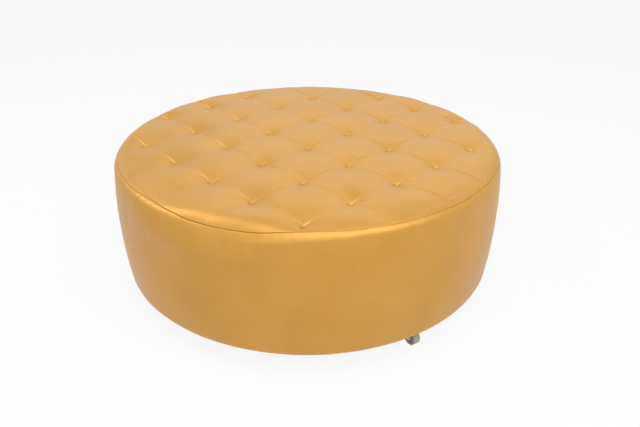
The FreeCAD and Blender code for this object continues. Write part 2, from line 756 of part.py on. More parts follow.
def fork(number):
    """Pressed steel fork: a crown under the race and two cheeks down to the axle."""
    body = doc.addObject("PartDesign::Body", "fork_body_%d" % number)
    side = sketch(body, "fork_side_%d" % number, "XZ_Plane")
    hip = FORK_TOP + " - 3 * sizes.fork_sheet"
    left = "sizes.castor_trail - sizes.fork_boss"
    right = "sizes.castor_trail + sizes.fork_boss"
    outline(side, [
        ("-sizes.fork_reach", FORK_TOP),
        ("-sizes.fork_reach", hip),
        (left, "sizes.wheel_radius - sizes.fork_boss / 2"),
        ("sizes.castor_trail - sizes.fork_boss / 2", "sizes.wheel_radius - sizes.fork_boss"),
        ("sizes.castor_trail + sizes.fork_boss / 2", "sizes.wheel_radius - sizes.fork_boss"),
        (right, "sizes.wheel_radius - sizes.fork_boss / 2"),
        (right, "sizes.wheel_radius + sizes.fork_boss / 2"),
        ("sizes.fork_reach", hip),
        ("sizes.fork_reach", FORK_TOP)])
    pad(body, "fork_pad_%d" % number, side, "sizes.fork_inside + 2 * sizes.fork_sheet", True)
    gap = sketch(body, "fork_gap_%d" % number, "XZ_Plane")
    wide = "2 * (sizes.castor_trail + sizes.wheel_radius)"
    outline(gap, [("-" + wide, "-sizes.wheel_radius"), (wide, "-sizes.wheel_radius"),
                  (wide, FORK_TOP + " - sizes.fork_sheet"),
                  ("-" + wide, FORK_TOP + " - sizes.fork_sheet")])
    pocket(body, "fork_slot_%d" % number, gap, "sizes.fork_inside")
    axle_hole = sketch(body, "fork_axle_%d" % number, "XZ_Plane")
    ring(axle_hole, "sizes.castor_trail", "sizes.wheel_radius", "sizes.axle_radius")
    pocket(body, "fork_axle_hole_%d" % number, axle_hole)
    pin_hole = sketch(body, "fork_pin_%d" % number, "XY_Plane")
    bore(pin_hole, "sizes.kingpin_radius + sizes.running_gap")
    pocket(body, "fork_pin_hole_%d" % number, pin_hole)
    return at_castor(body, number, True)


def lying(piece, width, x="sizes.castor_trail"):
    """Lay a bar along the axle's line, centred between the cheeks."""
    piece.Placement = FreeCAD.Placement(Vector(0, 0, 0), FreeCAD.Rotation(Vector(1, 0, 0), 90))
    return bind(piece, x=x, y=width, z="sizes.wheel_radius")


def axle(number):
    """Axle bolt across the fork, with its head on one cheek and its nut on the other."""
    half = "(sizes.fork_inside / 2 + sizes.fork_sheet)"
    shank = lying(pin("axle_shank_%d" % number, "sizes.axle_radius", "2 * " + half), half)
    head = lying(prism("axle_head_%d" % number, "6", "sizes.axle_head",
                       "sizes.axle_head_height"), "-" + half)
    nut = lying(prism("axle_nut_%d" % number, "6", "sizes.axle_head",
                      "sizes.axle_head_height"), half + " + sizes.axle_head_height")
    return at_castor(fuse("axle_bolt_%d" % number, [shank, head, nut]), number, True)


def wheel_core(number):
    """Hard centre of the wheel, bored to run on the axle."""
    hub_width = "(sizes.fork_inside - 2 * sizes.side_gap)"
    blank = lying(prism("core_blank_%d" % number, "sizes.wheel_sides", "sizes.core_radius",
                        hub_width), hub_width + " / 2")
    hole = bind(doc.addObject("Part::Cylinder", "core_bore_%d" % number),
                Radius="sizes.axle_radius + sizes.running_gap", Height="2 * " + hub_width)
    return at_castor(cut("core_cut_%d" % number, blank, lying(hole, hub_width)), number, True)


def tyre(number):
    """Soft tyre moulded round the centre."""
    blank = lying(prism("tyre_blank_%d" % number, "sizes.wheel_sides", "sizes.wheel_radius",
                        "sizes.tyre_width"), "sizes.tyre_width / 2")
    inside = lying(prism("tyre_inside_%d" % number, "sizes.wheel_sides", "sizes.core_radius",
                         "2 * sizes.tyre_width"), "sizes.tyre_width")
    return at_castor(cut("tyre_cut_%d" % number, blank, inside), number, True)


rivet_holes = group("rivet_holes", [rivet_hole(number) for number in castors])
plate_holes = group("plate_holes", [screw_holes, rivet_holes])
plate_group = group("plate_group", [plate(number) for number in castors])
race_group = group("race_group", [race(number) for number in castors])
keep(cut("plate_cut", plate_group, plate_holes), "castor_plates")
keep(cut("race_cut", race_group, rivet_holes), "swivel_races")
keep(group("kingpin_group", [kingpin(number) for number in castors]), "kingpins")
keep(group("screw_group", [at_screws("screw", number, screw) for number in castors]),
     "castor_screws")
for number in castors:
    keep(fork(number), "fork_%d" % number)
    keep(axle(number), "axle_%d" % number)
    keep(wheel_core(number), "wheel_core_%d" % number)
    keep(tyre(number), "tyre_%d" % number)

doc.recompute()

# Every object must be sound before anything is written
for item in doc.Objects:
    if "Invalid" in item.State or "Error" in item.State:
        raise RuntimeError("%s failed: %s" % (item.Label, item.State))
for node in nodes:
    if node.Shape.isNull() or not node.Shape.isValid() or not node.Shape.Solids:
        raise RuntimeError("%s has no sound shape" % node.Label)

os.makedirs("parts", exist_ok=True)
for node in nodes:
    node.Shape.exportStep("parts/%s.step" % node.Label)
    print("%-16s %3d solids %14.0f mm3" % (node.Label, len(node.Shape.Solids), node.Shape.Volume))
print(len(tufts), "tufts,", len(nodes), "nodes")
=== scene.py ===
import json
import math

import bmesh
import bpy
from mathutils import Matrix, Vector, noise


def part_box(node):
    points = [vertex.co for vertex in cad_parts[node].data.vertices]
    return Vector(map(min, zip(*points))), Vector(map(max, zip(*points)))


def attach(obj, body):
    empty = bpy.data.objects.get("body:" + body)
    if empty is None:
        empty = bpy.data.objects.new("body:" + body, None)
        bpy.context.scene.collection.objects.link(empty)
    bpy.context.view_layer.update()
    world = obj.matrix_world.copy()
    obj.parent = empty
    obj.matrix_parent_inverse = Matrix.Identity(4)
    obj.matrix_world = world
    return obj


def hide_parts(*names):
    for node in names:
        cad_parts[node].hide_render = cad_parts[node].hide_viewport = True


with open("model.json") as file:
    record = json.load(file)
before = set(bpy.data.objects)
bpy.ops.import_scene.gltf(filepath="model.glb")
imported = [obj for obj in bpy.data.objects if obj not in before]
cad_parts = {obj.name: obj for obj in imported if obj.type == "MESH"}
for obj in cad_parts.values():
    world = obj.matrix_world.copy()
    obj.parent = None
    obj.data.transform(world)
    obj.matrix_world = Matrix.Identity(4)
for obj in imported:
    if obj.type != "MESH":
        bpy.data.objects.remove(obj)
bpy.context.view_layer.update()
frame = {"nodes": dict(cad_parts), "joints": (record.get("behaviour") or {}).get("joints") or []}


# Wooden frame: two birch plywood discs held apart by sawn softwood posts, rails, noggings and
# props, screwed and glued, with oil-tempered hardboard bent round them. It is hidden by the
# foam, and keeps the exact solids; each wood gets its own grain.
def linear(code):
    """A colour written as sRGB hex, as the linear colour that a socket takes."""
    shares = [int(code[k:k + 2], 16) / 255 for k in (1, 3, 5)]
    return [s / 12.92 if s <= 0.04045 else ((s + 0.055) / 1.055) ** 2.4 for s in shares] + [1.0]


def add_node(material, kind, settings, links=None, feeds=None):
    """Add a node with its settings (sockets or properties) and links, feeding a shader socket."""
    tree = material.node_tree
    made = tree.nodes.new(kind)
    for name, setting in settings.items():
        if name == "ramp":
            for place, (stop, colour) in enumerate(setting):
                stops = made.color_ramp.elements
                mark = stops[place] if place < 2 else stops.new(stop)
                mark.position = stop
                mark.color = colour
        elif isinstance(name, int) or name in made.inputs:
            made.inputs[name].default_value = setting
        else:
            setattr(made, name, setting)
    for name, source in (links or {}).items():
        tree.links.new(source, made.inputs[name])
    result = next(output for output in made.outputs if output.enabled)
    if feeds:
        tree.links.new(result, tree.nodes["Principled BSDF"].inputs[feeds])
    return result


def start_material(name, settings):
    """A material with one Principled shader and its plain settings."""
    material = bpy.data.materials.new(name)
    material.use_nodes = True
    for socket, setting in settings.items():
        material.node_tree.nodes["Principled BSDF"].inputs[socket].default_value = setting
    return material


def object_place(material, scale):
    """Object coordinates, stretched along each axis, in patterns per metre."""
    where = add_node(material, "ShaderNodeTexCoord", {})
    where = where.node.outputs["Object"]
    return add_node(material, "ShaderNodeMapping", {"Scale": scale}, {"Vector": where})


def finish_node(names, material):
    """Give CAD nodes a material of their own."""
    for name in names:
        node = frame["nodes"][name]
        if not node.material_slots:
            node.data.materials.append(material)
        for place in node.material_slots:
            place.material = material


woods = {
    "birch_plywood_sanded": (("base_disc", "deck_disc"), "#C9A876", "#A9814F", (6, 260, 260)),
    "softwood_sawn": (("rim_posts", "front_rail", "back_rail", "left_nogging", "right_nogging",
                       "front_prop", "back_prop"), "#D2B07A", "#B08450", (120, 120, 8)),
    "hardboard_tempered": (("side_skin",), "#7A5636", "#5C3D25", (300, 300, 300))}
for name, (nodes, pale, dark, stretch) in woods.items():
    wood = start_material(name, {"Roughness": 0.68, "IOR": 1.5})
    place = object_place(wood, stretch)
    grain = add_node(wood, "ShaderNodeTexNoise", {"Scale": 1, "Detail": 4, "Distortion": 0.6},
                     {"Vector": place})
    add_node(wood, "ShaderNodeValToRGB", {"ramp": [(0.35, linear(dark)), (0.62, linear(pale))]},
             {"Fac": grain}, feeds="Base Color")
    add_node(wood, "ShaderNodeBump", {"Strength": 0.3, "Distance": 0.0004}, {"Height": grain},
             feeds="Normal")
    finish_node(nodes, wood)

# Tufting twines and their toggles: waxed linen twine, laid in three strands, each pulled down
# through the deck and held under it by a small moulded nylon plate.
twine = start_material("linen_twine_waxed", {"Roughness": 0.6, "Sheen Weight": 0.3})
place = object_place(twine, (500, 500, 180))
strands = add_node(twine, "ShaderNodeTexWave", {"bands_direction": "DIAGONAL", "Scale": 1,
                                                "Distortion": 1.5}, {"Vector": place})
add_node(twine, "ShaderNodeValToRGB",
         {"ramp": [(0.2, linear("#A48F66")), (0.8, linear("#DCCBA2"))]}, {"Fac": strands},
         feeds="Base Color")
add_node(twine, "ShaderNodeBump", {"Strength": 0.6, "Distance": 0.0004}, {"Height": strands},
         feeds="Normal")
finish_node(["tufting_twines"], twine)

nylon = start_material("nylon_moulded_white", {"Roughness": 0.42, "IOR": 1.53,
                                               "Subsurface Weight": 0.1,
                                               "Subsurface Scale": 0.002})
mottle = add_node(nylon, "ShaderNodeTexNoise", {"Scale": 1, "Detail": 2},
                  {"Vector": object_place(nylon, (220, 220, 220))})
add_node(nylon, "ShaderNodeValToRGB",
         {"ramp": [(0.3, linear("#D8D6CC")), (0.7, linear("#EAE8E0"))]}, {"Fac": mottle},
         feeds="Base Color")
finish_node(["twine_toggles"], nylon)

# Seat: gold upholstery vinyl over foam, one sheet drawn down at 31 tufts in a diamond lattice
# and folded into pleats between them, then over the rounded shoulder to a plain seam. The
# surface is laid out flat, row by row of pillows, and then bent over the shoulder.
SEAT_TOP = 0.456
SEAT_RISE = 0.001            # middle of the seat over its edge
DOME_OUT = 0.45              # the seat falls away from here to where its shoulder is tight
SEAM_GAP = 0.0002            # half the space between the two sheets in the seam
SEAM_DEPTH = 0.0008          # the sheets are drawn in a little along the seam
PITCH = 0.127                # half the diagonal of a diamond
CELL = PITCH * math.sqrt(2)  # a diamond's side
TUFT_REACH = 0.578           # lattice corners further out are past the rim and have no tuft
TUFT_DEPTH = 0.015
RIM_TUFT_DEPTH = 0.012       # where a tuft sits right on the shoulder
PIT_DEPTH = 0.002            # sharp pit in the middle of a tuft
PIT_WIDTH = 0.005
PIT_SHIFT = 0.003            # the pit lies this far to the front and the left of the middle
PLEAT_DEPTH = 0.0024         # middle of a pleat under the crests
RUN_OUT_DEPTH = 0.0022       # pleat where it runs out at the seam
PILLOW_CROWN = 0.0012
FOLD = 0.0026                # step of a pleat, whose far side laps over the near one
FOLD_LIP = 0.0032            # width of that step
FOLD_RUN = 0.018             # how far beyond it the lapped side stands up
FOLD_END = 0.06              # share of a pleat that a fold takes to start where no tuft is
FRONT_TUFT = 0.5715          # the front tuft is four and a half pitches in front of the middle
FRONT_ROW = 0.4445           # and the row behind it three and a half
STRAY = 0.001                # stray hollows and rises of a used seat
SEAM_FLAT = 0.5935           # the seam's radius in the flat layout
RIM_START = 0.53             # from here to the seam the layout is stretched to the real seam
# The shoulder is tight where the seam runs along its top, and full at the front left. Against
# the azimuth, which is 0 at the front and grows to the right: radius, height of the arc's
# middle, and where the arc begins, in radians over from the top
SHOULDERS = [(-180, 0.038, 0.418, 0), (-84, 0.038, 0.418, 0), (-64, 0.025, 0.4218, 0.145),
             (-37, 0.025, 0.4218, 0.145), (-23, 0.052, 0.404, 0), (-11, 0.05, 0.406, 0),
             (8, 0.025, 0.4218, 0.145), (66, 0.025, 0.4218, 0.145), (86, 0.038, 0.418, 0),
             (180, 0.038, 0.418, 0)]
LEAN = 0.11                  # the arc ends where the side's bulge leans by this, in radians
RIM_OUT = 0.601              # radius of the side at its lower and upper rims
RIM_LOW, RIM_HIGH = 0.0938, 0.418
SIDE_BULGE = 0.009           # how far the side swells between them
# Height of the seam on the shoulder, in degrees up from level
SEAM_HEIGHTS = [(-180, 44), (-120, 42), (-80, 42), (-56, 65), (-52, 64.5), (-42, 74), (-26, 38.5),
                (-20, 37), (-12, 37.5), (8, 63.5), (30, 61.5), (60, 55), (78, 38.5), (100, 41),
                (140, 45), (180, 44)]


def smooth(share):
    """Ease from 0 to 1, flat at both ends."""
    share = max(0.0, min(1.0, share))
    return share * share * (3 - 2 * share)


def round_rim(table, azimuth):
    """Values between a table's rows, eased round the rim."""
    degrees = math.degrees(azimuth)
    for low, high in zip(table, table[1:]):
        if low[0] <= degrees <= high[0]:
            share = smooth((degrees - low[0]) / (high[0] - low[0]))
            return [start + (end - start) * share for start, end in zip(low[1:], high[1:])]


def seam_turn(azimuth):
    """How far over the shoulder the seam lies, from the top, in radians."""
    return math.radians(90 - round_rim(SEAM_HEIGHTS, azimuth)[0])


def seam_open(azimuth):
    """The seam gapes a little at the front left, and is drawn tight elsewhere."""
    degrees = math.degrees(azimuth)
    return smooth((degrees + 50) / 12) * (1 - smooth((degrees + 6) / 14))


def seam_roll(azimuth):
    """Rounding of each sheet into the seam."""
    return 0.0007 + 0.0004 * seam_open(azimuth)


def bulge(up):
    """Radius of the padded side at a height."""
    half = (RIM_HIGH - RIM_LOW) / 2
    curve = (half * half + SIDE_BULGE * SIDE_BULGE) / (2 * SIDE_BULGE)
    return RIM_OUT + SIDE_BULGE - curve + math.sqrt(curve * curve - (up - RIM_LOW - half) ** 2)


def shoulder(azimuth):
    """The shoulder's radius, the middle of its arc, and where the arc begins."""
    radius, middle_up, begin = round_rim(SHOULDERS, azimuth)
    middle_out = bulge(middle_up + radius * math.sin(LEAN)) - radius * math.cos(LEAN)
    return radius, middle_out, middle_up, begin


def on_shoulder(azimuth, turn, depth):
    """A point under the shoulder's surface, turn radians over from the top."""
    radius, middle_out, middle_up, _ = shoulder(azimuth)
    out = middle_out + (radius - depth) * math.sin(turn)
    up = middle_up + (radius - depth) * math.cos(turn)
    return Vector((out * math.sin(azimuth), -out * math.cos(azimuth), up))


# The pillows' crests come level with the top of the shoulder
SWELL = math.log(2) / math.log(TUFT_DEPTH / (TUFT_DEPTH - PLEAT_DEPTH))


def pleat(share, first, last):
    """Depth along a pleat between two lattice corners: steep at a tuft, bowed up between."""
    end = first if share < 0.5 else last
    return PLEAT_DEPTH + (end - PLEAT_DEPTH) * abs(2 * share - 1) ** 2.6


def corner_depth(a, b):
    """Depth of the seat at a corner of the lattice."""
    out = math.hypot((a - b) * PITCH, (a + b - 0.5) * PITCH)
    if out > TUFT_REACH:
        return RUN_OUT_DEPTH
    return TUFT_DEPTH + (RIM_TUFT_DEPTH - TUFT_DEPTH) * smooth((out - 0.54) / 0.035)


def seat_depth(x, y):
    """How far the seat lies under its dome at a place of the flat layout, the part of it that
    is a fold, and how much painted shade its base colour gets there, in the pits of the tufts."""
    a = (y / PITCH + x / PITCH + 0.5) / 2
    b = (y / PITCH - x / PITCH + 0.5) / 2
    column, row = math.floor(a), math.floor(b)
    u, v = a - column, b - row
    near, right = corner_depth(column, row), corner_depth(column + 1, row)
    left, far = corner_depth(column, row + 1), corner_depth(column + 1, row + 1)
    # Two families of pleats bound the pillow, and it swells between them
    along = (1 - v) * pleat(u, near, right) + v * pleat(u, left, far)
    across = (1 - u) * pleat(v, near, left) + u * pleat(v, right, far)
    high = ((TUFT_DEPTH - along) ** SWELL + (TUFT_DEPTH - across) ** SWELL) ** (1 / SWELL)
    depth = TUFT_DEPTH - high
    depth -= PILLOW_CROWN * (math.sin(math.pi * u) * math.sin(math.pi * v)) ** 0.8
    # Folds: between two tufts, and from a tuft to the seam, the vinyl beyond a pleat laps over
    # the near side, most at the pleat's front end and where it runs back to the left
    fold, crease = 0.0, 0.0
    for off, share, sharp, front, back in ((u * CELL, v, 1.0, near, left),
                                           (v * CELL, u, 0.65, near, right)):
        if max(front, back) > PLEAT_DEPTH:
            size = FOLD * sharp * (1 - 0.75 * smooth(share))
            if front < PLEAT_DEPTH:
                size *= smooth(share / FOLD_END)
            if back < PLEAT_DEPTH:
                size *= smooth((1 - share) / FOLD_END)
            fold -= size * smooth(off / FOLD_LIP) * math.exp(-off / FOLD_RUN)
    column, row = math.floor(a + 0.5), math.floor(b + 0.5)
    if corner_depth(column, row) > PLEAT_DEPTH:
        side = ((a - column) - (b - row)) * PITCH + PIT_SHIFT
        front = ((a - column) + (b - row)) * PITCH + PIT_SHIFT
        pit = math.exp(-(side * side + front * front) / PIT_WIDTH ** 2)
        depth += PIT_DEPTH * pit
        # Painted shade: the base colour is darkened in the pit of each tuft.
        crease = 0.35 * pit
    return depth, fold, crease


# The mesh's lines over half a pillow, in millimetres from its pleat, and over the whole lattice
half_ticks = [0, 1.2, 2.6, 4.4, 7, 10.5, 15, 21, 28, 37, 47, 58, 69, 79.5]
shares = [tick / 1000 / CELL for tick in half_ticks]
shares = shares + [0.5] + [1 - share for share in shares[:0:-1]]
ticks = [cell + share for cell in range(-4, 4) for share in shares] + [4]

layout = bmesh.new()
# Painted shade for the base colour, carried on each vertex
painted_shade_mark = layout.verts.layers.float.new("crease")
grid = {}
for k, a in enumerate(ticks):
    for n, b in enumerate(ticks):
        x, y = (a - b) * PITCH, (a + b - 0.5) * PITCH
        if math.hypot(x, y) < SEAM_FLAT + 0.03:
            grid[k, n] = layout.verts.new((x, y, 0))
for k, n in grid:
    corners = [grid.get(place) for place in ((k, n), (k + 1, n), (k + 1, n + 1), (k, n + 1))]
    if all(corners):
        layout.faces.new(corners)
# The layout is trimmed to a circle by straight cuts, and slivers at its rim are merged
TRIMS = 240
for k in range(TRIMS):
    turn = 2 * math.pi * (k + 0.5) / TRIMS
    outward = Vector((math.cos(turn), math.sin(turn), 0))
    bmesh.ops.bisect_plane(layout, geom=layout.verts[:] + layout.edges[:] + layout.faces[:],
                           dist=1e-6, plane_co=outward * SEAM_FLAT * math.cos(math.pi / TRIMS),
                           plane_no=outward, clear_outer=True)
rim = [vert for vert in layout.verts if vert.co.length > SEAM_FLAT - 0.006]
bmesh.ops.remove_doubles(layout, verts=rim, dist=0.0008)


def seat_place(x, y):
    """Where a place of the flat layout lies on the seat, and how much painted shade its base
    colour gets there.
    """
    depth, fold, crease = seat_depth(x, y)
    # The lattice isn't even: its middle rows lie a little nearer to the front, the front rows
    # further back and to the right, and the front tuft 12 mm to the right
    inner = 1 - smooth((math.hypot(x, y) - 0.42) / 0.14)
    near_rim = 1 - smooth((math.hypot(x, y) - 0.574) / 0.019)
    front_tuft = math.exp(-(x * x + (y + FRONT_TUFT) ** 2) / 0.07 ** 2)
    front_right = math.exp(-((x - 0.27) ** 2 + (y + FRONT_ROW) ** 2) / 0.11 ** 2)
    y += near_rim * (0.014 * front_tuft + 0.01 * front_right
                     + 0.006 * math.exp(-((y + FRONT_ROW) / 0.07) ** 2))
    y -= 0.012 * math.exp(-((y + 0.1) / 0.3) ** 2) * inner
    x += near_rim * 0.009 * front_right
    out = math.hypot(x, y)
    azimuth = math.atan2(x, -y) if out else 0.0
    azimuth += 0.021 * front_tuft
    # The rim is stretched to where the seam runs, and eases down into it
    radius, middle_out, middle_up, begin = shoulder(azimuth)
    arc_out = middle_out + radius * math.sin(begin)
    fall = SEAT_TOP - middle_up - radius * math.cos(begin)
    edge = arc_out + radius * (seam_turn(azimuth) - begin) - seam_roll(azimuth) - SEAM_GAP
    out += (edge - SEAM_FLAT) * smooth((out - RIM_START) / (SEAM_FLAT - RIM_START))
    pull = smooth((out - edge + 0.02) / 0.02)
    depth = depth * (1 - pull) + SEAM_DEPTH * pull
    depth += fold * (1 - smooth((out - edge + 0.006) / 0.006))
    depth -= STRAY * noise.noise(Vector((x, y, 0)) * 14) * (1 - pull)
    if out < arc_out:
        up = SEAT_TOP + SEAT_RISE * (1 - (out / arc_out) ** 2) - depth
        up -= fall * (max(0.0, out - DOME_OUT) / (arc_out - DOME_OUT)) ** 2
        point = Vector((out * math.sin(azimuth), -out * math.cos(azimuth), up))
    else:
        point = on_shoulder(azimuth, begin + (out - arc_out) / radius, depth)
    return point, 0.6 * crease * (1 - pull)


def hold(x, y):
    """How firmly the sheet is held at a place: by the tufts and the seam, less by pleats."""
    a = (y / PITCH + x / PITCH + 0.5) / 2
    b = (y / PITCH - x / PITCH + 0.5) / 2
    column, row = math.floor(a + 0.5), math.floor(b + 0.5)
    off_a, off_b = abs(a - column) * CELL, abs(b - row) * CELL
    firm = smooth((math.hypot(x, y) - SEAM_FLAT + 0.035) / 0.02)
    if corner_depth(column, row) > PLEAT_DEPTH:
        firm = max(firm, 1 - smooth((math.hypot(off_a, off_b) - 0.012) / 0.012))
        firm = max(firm, 0.8 * (1 - smooth((min(off_a, off_b) - 0.004) / 0.008)))
    return firm


# Cloth simulation of the sheet on a plain grid: the foam presses it up between the tufts and
# pleats, and its spare length settles there in soft hollows
STEP = 0.009
STEPS_IN_TIME = 16
MOST_MOVE = 0.0016
spots, places = {}, []
reach = int(SEAM_FLAT / STEP)
for k in range(-reach, reach + 1):
    for n in range(-reach, reach + 1):
        if math.hypot(k, n) * STEP < SEAM_FLAT - 0.002:
            spots[k, n] = len(places)
            places.append(seat_place(k * STEP, n * STEP)[0])
squares = [[spots.get(spot) for spot in ((k, n), (k + 1, n), (k + 1, n + 1), (k, n + 1))]
           for k, n in spots]
sheet_mesh = bpy.data.meshes.new("vinyl_sheet")
sheet_mesh.from_pydata(places, [], [square for square in squares if None not in square])
sheet = bpy.data.objects.new("vinyl_sheet", sheet_mesh)
bpy.context.scene.collection.objects.link(sheet)
held = sheet.vertex_groups.new(name="held")
for (k, n), index in spots.items():
    held.add([index], hold(k * STEP, n * STEP), "REPLACE")
cloth = sheet.modifiers.new("cloth", "CLOTH")
cloth.settings.quality = 6
cloth.settings.mass = 0.3
cloth.settings.tension_stiffness = 30
cloth.settings.compression_stiffness = 30
cloth.settings.shear_stiffness = 15
cloth.settings.bending_stiffness = 2
cloth.settings.shrink_min = -0.006
cloth.settings.vertex_group_mass = "held"
cloth.settings.use_pressure = True
cloth.settings.uniform_pressure_force = 2
cloth.settings.effector_weights.gravity = 0
for step in range(STEPS_IN_TIME):
    bpy.context.scene.frame_set(step + 1)
settled = sheet.evaluated_get(bpy.context.evaluated_depsgraph_get()).data.vertices
for index, start in enumerate(places):
    move = settled[index].co - start
    places[index] = move * (math.tanh(move.length / MOST_MOVE) * MOST_MOVE
                            / max(move.length, 1e-9))
bpy.data.objects.remove(sheet)
bpy.context.scene.frame_set(1)


def settling(x, y):
    """The simulated sheet's movement at a place of the flat layout."""
    k, n = math.floor(x / STEP), math.floor(y / STEP)
    u, v = x / STEP - k, y / STEP - n
    move = Vector((0, 0, 0))
    for spot, part in (((k, n), (1 - u) * (1 - v)), ((k + 1, n), u * (1 - v)),
                       ((k, n + 1), (1 - u) * v), ((k + 1, n + 1), u * v)):
        if spot in spots:
            move += places[spots[spot]] * part
    return move


for vert in layout.verts:
    x, y = vert.co.xy
    vert.co, vert[painted_shade_mark] = seat_place(x, y)
    vert.co += settling(x, y)


def rolled(azimuth, side, angle):
    """A point of a sheet's edge as it rolls into the seam; side is -1 for the seat, 1 below."""
    roll = seam_roll(azimuth)
    shift = side * (SEAM_GAP + roll * (1 - math.sin(angle))) / shoulder(azimuth)[0]
    depth = SEAM_DEPTH + roll * (1 - math.cos(angle))
    return on_shoulder(azimuth, seam_turn(azimuth) + shift, depth)


def under(azimuth, out, up):
    """A point at an azimuth, by its distance from the middle and its height."""
    return Vector((out * math.sin(azimuth), -out * math.cos(azimuth), up))


# From the seam the seat goes down inside the side cover to the deck, and is flat below
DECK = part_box("deck_disc")[1].z + 0.0003
hidden = [lambda azimuth, angle=angle: rolled(azimuth, -1, math.radians(angle))
          for angle in (22, 45, 68, 90)]
hidden += [lambda azimuth: on_shoulder(azimuth, seam_turn(azimuth), 0.0065),
           lambda azimuth: on_shoulder(azimuth, seam_turn(azimuth) + 0.15, 0.0075),
           lambda azimuth: on_shoulder(azimuth, seam_turn(azimuth) + 0.35, 0.005),
           lambda azimuth: under(azimuth, bulge(0.4) - 0.003, 0.4),
           lambda azimuth: under(azimuth, bulge(DECK) - 0.003, DECK),
           lambda azimuth: under(azimuth, 0.4, DECK)]
edge = [line for line in layout.edges if line.is_boundary]
for place in hidden:
    grown = bmesh.ops.extrude_edge_only(layout, edges=edge)["geom"]
    for vert in (item for item in grown if isinstance(item, bmesh.types.BMVert)):
        vert.co = place(math.atan2(vert.co.x, -vert.co.y))
        azimuth = math.atan2(vert.co.x, -vert.co.y)
        # Painted shade: the base colour is darkened where the seat rolls into the seam, more where
        # the seam gapes
        vert[painted_shade_mark] = 0.05 + 0.3 * seam_open(azimuth)
    edge = [item for item in grown if isinstance(item, bmesh.types.BMEdge) and item.is_boundary]
bmesh.ops.edgeloop_fill(layout, edges=edge)
bmesh.ops.recalc_face_normals(layout, faces=layout.faces)


def add_piece(name, mesh, material, body="root", replaces=()):
    """Put a finished mesh in the scene as one piece, smooth, on its body."""
    piece = bpy.data.objects.new(name, mesh)
    bpy.context.scene.collection.objects.link(piece)
    mesh.materials.clear()
    mesh.materials.append(material)
    mesh.shade_smooth()
    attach(piece, body)
    if replaces:
        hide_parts(*replaces)
    return piece


# Coated upholstery vinyl with a gold pearl pigment: satin, its flakes give a wide gold sheen,
# and the clear top coat a pale reflection at a low angle. The embossed grain is 1 mm leather
# pebble, drawn at 2.5 mm so that it shows at all. Shade in the seams and in the pits of the
# tufts is painted: the base colour is darkened there.
gold_vinyl = start_material("vinyl_embossed_gold_pearl", {"Metallic": 0.38, "IOR": 1.5})
place = object_place(gold_vinyl, (1, 1, 1))
clouds = add_node(gold_vinyl, "ShaderNodeTexNoise", {"Scale": 7, "Detail": 5, "Roughness": 0.55},
                  {"Vector": place})
tone = add_node(gold_vinyl, "ShaderNodeValToRGB",
                {"ramp": [(0.3, linear("#C68F36")), (0.7, linear("#CC973E"))]},
                {"Fac": clouds})
painted_shade_value = add_node(gold_vinyl, "ShaderNodeAttribute", {"attribute_name": "crease"})
painted_shade_value = painted_shade_value.node.outputs["Fac"]
# Painted shade: the base colour is multiplied towards dark brown #8A5A26 as far as the mesh's
# shade attribute goes.
add_node(gold_vinyl, "ShaderNodeMix", {"data_type": "RGBA", "blend_type": "MULTIPLY",
                                       "B": linear("#8A5A26")},
         {"Factor": painted_shade_value, "A": tone}, feeds="Base Color")
pebbles = add_node(gold_vinyl, "ShaderNodeTexVoronoi", {"Scale": 400, "feature": "F1"},
                   {"Vector": place})
crumple = add_node(gold_vinyl, "ShaderNodeTexNoise", {"Scale": 55, "Detail": 5}, {"Vector": place})
fine = add_node(gold_vinyl, "ShaderNodeBump", {"Strength": 0.12, "Distance": 0.0003},
                {"Height": pebbles})
add_node(gold_vinyl, "ShaderNodeBump", {"Strength": 0.18, "Distance": 0.0006},
         {"Height": crumple, "Normal": fine}, feeds="Normal")
add_node(gold_vinyl, "ShaderNodeMapRange", {"From Min": 0.3, "From Max": 0.7, "To Min": 0.38,
                                            "To Max": 0.42}, {"Value": clouds},
         feeds="Roughness")

seat_mesh = bpy.data.meshes.new("tufted_seat")
layout.to_mesh(seat_mesh)
layout.free()
seat = add_piece("tufted_seat", seat_mesh, gold_vinyl, replaces=("top_cover", "seat_foam"))

# Side: a band of the same vinyl over sheet foam, sewn to the seat, drawn down over the side,
# round the lower corner and 53 mm under the base, where it is stapled. Faint upright ripples
# under the rim show how it is pulled; three plain upright seams close the band.
SIDE_OUT = 0.61              # the side at its fullest
CORNER_OUT, CORNER = 0.573, 0.028
VINYL = 0.0013
FLANGE_IN, FLANGE_LOW, FLANGE_TOP = 0.52, 0.0658, 0.0669
# Inside, the foam lies on the eased edge of the base and on the hardboard, up to the deck
BASE_IN, BASE_OUT, BASE_UP = 0.5705, 0.5807, 0.0715
BOARD_OUT, BOARD_LOW, BOARD_TOP = 0.5848, 0.072, 0.3597
LIP_LOW = 0.39               # from here up only the vinyl goes on, over the seat's foam
# Short upright creases left by handling: azimuth in degrees, height, half length and rise
WRINKLES = [(-23, 0.386, 0.016, 0.0009), (-19, 0.36, 0.012, 0.0005), (10, 0.098, 0.008, -0.0007),
            (21, 0.37, 0.02, 0.0004), (38, 0.35, 0.02, 0.0005), (131, 0.37, 0.018, 0.0007)]
UPRIGHT_SEAMS = [math.radians(degrees) for degrees in (-46.5, 62, 178)]

# The mesh's upright lines: evenly round the side, and closer at the upright seams, where they
# are given in millimetres from the seam
COLUMNS = 780
columns = [2 * math.pi * k / COLUMNS - math.pi for k in range(COLUMNS)]
for seam in UPRIGHT_SEAMS:
    columns = [azimuth for azimuth in columns if abs(azimuth - seam) * SIDE_OUT > 0.0055]
    columns += [seam + off / 1000 / SIDE_OUT for off in (-5, -3.5, -2.4, -1.6, -1, -0.5, 0, 0.5,
                                                         1, 1.6, 2.4, 3.5, 5)]
columns.sort()


